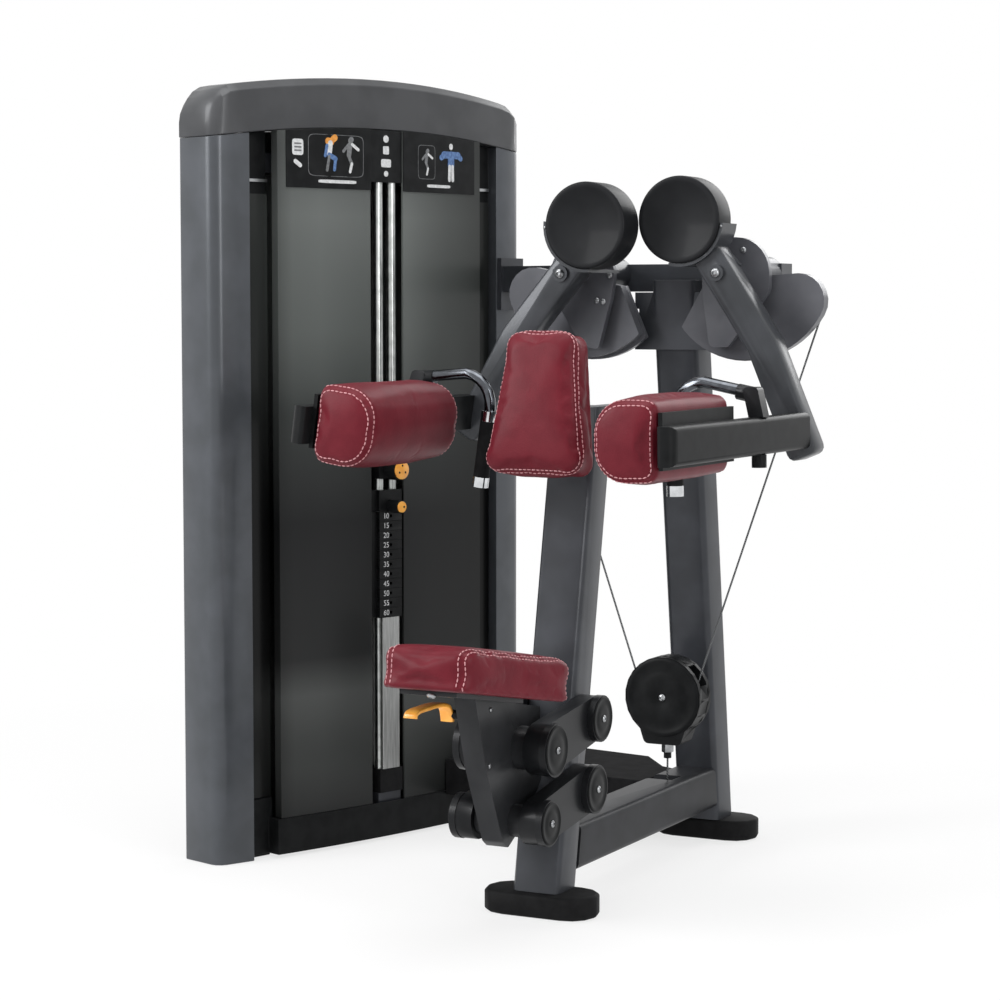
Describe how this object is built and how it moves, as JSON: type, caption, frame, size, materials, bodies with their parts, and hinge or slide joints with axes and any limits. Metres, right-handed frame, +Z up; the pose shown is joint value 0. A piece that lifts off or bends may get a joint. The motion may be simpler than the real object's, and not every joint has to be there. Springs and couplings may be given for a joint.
{
  "type": "lateral raise machine",
  "caption": "Selectorised lateral raise machine with a bowed weight tower, swinging pad arms with counterweights, steel cables, chest pad and an adjustable seat.",
  "frame": {"origin": "on the floor under the middle of the front foot", "axes": "+Z up, +X to the user's right, +Y the way the user faces, towards the weight arms"},
  "size_m": [1.2377, 1.3923, 1.607],
  "materials": {
    "frame_paint": "satin charcoal powder coat",
    "cap_paint": "satin dark grey",
    "shroud": "smooth dark grey-green",
    "black_plastic": "fine grained",
    "counterweight_paint": "satin black",
    "vinyl": "burgundy upholstery vinyl, fine grain",
    "orange_plastic": "smooth orange",
    "chrome": "polished",
    "steel": "bare steel",
    "plate_steel": "satin black weight plates",
    "rubber": "matt black"
  },
  "bodies": {
    "frame": {"tower_pillar_left": "frame_paint", "tower_pillar_right": "frame_paint", "tower_cap": "cap_paint", "tower_base_cover": "black_plastic", "tower_floor_plate": "frame_paint", "tower_top_beam": "frame_paint", "shroud_left": "shroud", "shroud_right": "shroud", "tower_back_cover": "shroud", "placard_left": "black_plastic", "placard_right": "black_plastic", "guide_rod_left": "chrome", "guide_rod_right": "chrome", "stack_riser": "steel", "stack_bumper": "rubber", "weight_plates": "plate_steel", "transfer_cable": "steel", "front_foot": "rubber", "rear_foot": "rubber", "front_column": "frame_paint", "base_beam": "frame_paint", "rear_upright": "frame_paint", "chest_beam": "frame_paint", "top_crossbar": "frame_paint", "cable_cover": "black_plastic", "chest_pad": "vinyl"},
    "arm_right": {"arm_right": "frame_paint", "counterweight_right": "counterweight_paint", "hub_plate_right": "frame_paint", "cable_cam_right": "frame_paint", "arm_pad_right": "vinyl", "pad_beam_right": "black_plastic", "handle_right": "chrome", "hand_grip_right": "rubber"},
    "arm_left": {"arm_left": "frame_paint", "counterweight_left": "counterweight_paint", "hub_plate_left": "frame_paint", "cable_cam_left": "frame_paint", "arm_pad_left": "vinyl", "pad_beam_left": "black_plastic", "handle_left": "chrome", "hand_grip_left": "rubber"},
    "pulley_block": {"pulley_block": "black_plastic", "arm_cable_right": "steel", "arm_cable_left": "steel", "block_cable": "steel"},
    "floating_sheave": {"floating_sheave": "black_plastic"},
    "lifted_stack": {"head_plate": "plate_steel", "stack_cable": "steel"},
    "selector_pin": {"selector_pin": "orange_plastic"},
    "increment_weight": {"increment_weight": "orange_plastic"},
    "foot_pulley": {"foot_pulley": "black_plastic"},
    "top_pulley_outer": {"top_pulley_outer": "black_plastic"},
    "top_pulley_inner": {"top_pulley_inner": "black_plastic"},
    "base_pulley": {"base_pulley": "black_plastic"},
    "seat_upper_link": {"seat_upper_link": "frame_paint"},
    "seat_lower_link": {"seat_lower_link": "frame_paint"},
    "seat_carriage": {"seat_carriage": "frame_paint", "seat_pad": "vinyl"},
    "seat_lever": {"seat_lever": "orange_plastic"}
  },
  "joints": [
    {"name": "right_arm", "type": "hinge", "parent": "frame", "child": "arm_right", "pos_m": [0.169, 0.46, 1.2], "axis": [0, -1, 0], "range_deg": [0, 60]},
    {"name": "left_arm", "type": "hinge", "parent": "frame", "child": "arm_left", "pos_m": [-0.169, 0.46, 1.2], "axis": [0, 1, 0], "range_deg": [0, 60]},
    {"name": "block_lift", "type": "slide", "parent": "frame", "child": "pulley_block", "axis": [0, 0, 1], "range_m": [0, 0.197], "deforming": ["arm_cable_right", "arm_cable_left", "block_cable"]},
    {"name": "sheave_spin", "type": "hinge", "parent": "pulley_block", "child": "floating_sheave", "pos_m": [0, 0.593, 0.33], "axis": [0, 1, 0], "continuous": true},
    {"name": "stack_lift", "type": "slide", "parent": "frame", "child": "lifted_stack", "axis": [0, 0, 1], "range_m": [0, 0.197], "deforming": ["stack_cable"]},
    {"name": "pin_pull", "type": "slide", "parent": "lifted_stack", "child": "selector_pin", "axis": [0.9511, -0.309, 0], "range_m": [0, 0.06]},
    {"name": "increment_slide", "type": "slide", "parent": "lifted_stack", "child": "increment_weight", "axis": [0, 0, -1], "range_m": [0, 0.02]},
    {"name": "foot_pulley_spin", "type": "hinge", "parent": "frame", "child": "foot_pulley", "pos_m": [-0.59131, 0.70562, 0.128], "axis": [-0.309, -0.9511, 0], "range_deg": [0, 250]},
    {"name": "top_outer_spin", "type": "hinge", "parent": "frame", "child": "top_pulley_outer", "pos_m": [-0.63477, 0.67383, 1.348], "axis": [-1, -0.0062, 0], "range_deg": [0, 250]},
    {"name": "top_inner_spin", "type": "hinge", "parent": "frame", "child": "top_pulley_inner", "pos_m": [-0.63388, 0.53088, 1.348], "axis": [-1, -0.0062, 0], "range_deg": [0, 250]},
    {"name": "base_pulley_spin", "type": "hinge", "parent": "frame", "child": "base_pulley", "pos_m": [-0.02554, 0.59786, 0.108], "axis": [-0.1871, -0.9823, 0], "range_deg": [0, 440]},
    {"name": "seat_height", "type": "hinge", "parent": "frame", "child": "seat_upper_link", "pos_m": [0, 0.066, 0.364], "axis": [-1, 0, 0], "range_deg": [-10, 30]},
    {"name": "seat_lower_pivot", "type": "hinge", "parent": "frame", "child": "seat_lower_link", "pos_m": [0, 0.043, 0.234], "axis": [-1, 0, 0], "range_deg": [-10, 30]},
    {"name": "seat_level", "type": "hinge", "parent": "seat_upper_link", "child": "seat_carriage", "pos_m": [0, -0.132, 0.334], "axis": [-1, 0, 0], "range_deg": [-30, 10]},
    {"name": "lever_pull", "type": "hinge", "parent": "seat_carriage", "child": "seat_lever", "pos_m": [-0.052, -0.285, 0.414], "axis": [-1, 0, 0], "range_deg": [0, 10], "stiffness_Nm_per_rad": 4, "springref_deg": -8.59}
  ],
  "couplings": [
    {"joint": "left_arm", "follows": "right_arm", "ratio": 1},
    {"joint": "block_lift", "follows": "right_arm", "m_per_rad": 0.188},
    {"joint": "stack_lift", "follows": "right_arm", "m_per_rad": 0.188},
    {"joint": "foot_pulley_spin", "follows": "right_arm", "ratio": 4.087},
    {"joint": "top_outer_spin", "follows": "right_arm", "ratio": 4.087},
    {"joint": "top_inner_spin", "follows": "right_arm", "ratio": 4.087},
    {"joint": "base_pulley_spin", "follows": "right_arm", "ratio": 7.231},
    {"joint": "seat_lower_pivot", "follows": "seat_height", "ratio": 1},
    {"joint": "seat_level", "follows": "seat_height", "ratio": -1}
  ]
}
